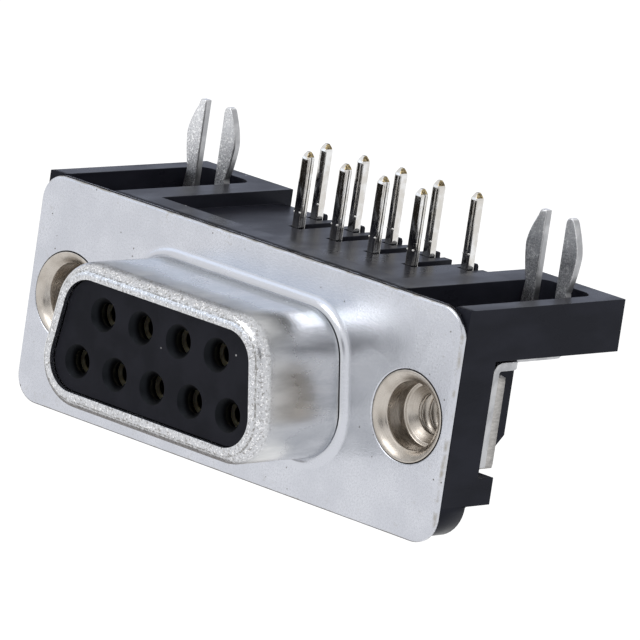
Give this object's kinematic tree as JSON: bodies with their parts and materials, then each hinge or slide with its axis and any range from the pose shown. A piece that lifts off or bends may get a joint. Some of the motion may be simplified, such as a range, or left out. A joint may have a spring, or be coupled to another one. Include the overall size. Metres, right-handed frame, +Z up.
{
  "type": "d-sub connector",
  "caption": "Right-angle D-subminiature socket connector with drawn metal shell, threaded inserts, board tails and forked board locks.",
  "frame": {"origin": "middle of the D-shell, on the front face of its flange", "axes": "+X along the flange, +Y back from the panel into the equipment, +Z up towards the circuit board, the way the tails point"},
  "size_m": [0.0308, 0.0185, 0.0165],
  "materials": {
    "shell_steel": "tin plated, satin flange and brighter drawn shell",
    "insulator_plastic": "moulded, fine matte face",
    "housing_plastic": "moulded, satin, glossier on the comb plate",
    "contact_metal": "bright tin over nickel, bare alloy on the cut ends",
    "lock_metal": "dull tin plating",
    "insert_nickel": "warm nickel plating"
  },
  "bodies": {
    "root": {"front_shell": "shell_steel", "socket_insulator": "insulator_plastic", "rear_insulator": "insulator_plastic", "housing": "housing_plastic", "contact_1": "contact_metal", "contact_2": "contact_metal", "contact_3": "contact_metal", "contact_4": "contact_metal", "contact_5": "contact_metal", "contact_6": "contact_metal", "contact_7": "contact_metal", "contact_8": "contact_metal", "contact_9": "contact_metal", "board_lock_left": "lock_metal", "board_lock_right": "lock_metal", "threaded_insert_left": "insert_nickel", "threaded_insert_right": "insert_nickel"}
  },
  "joints": []
}
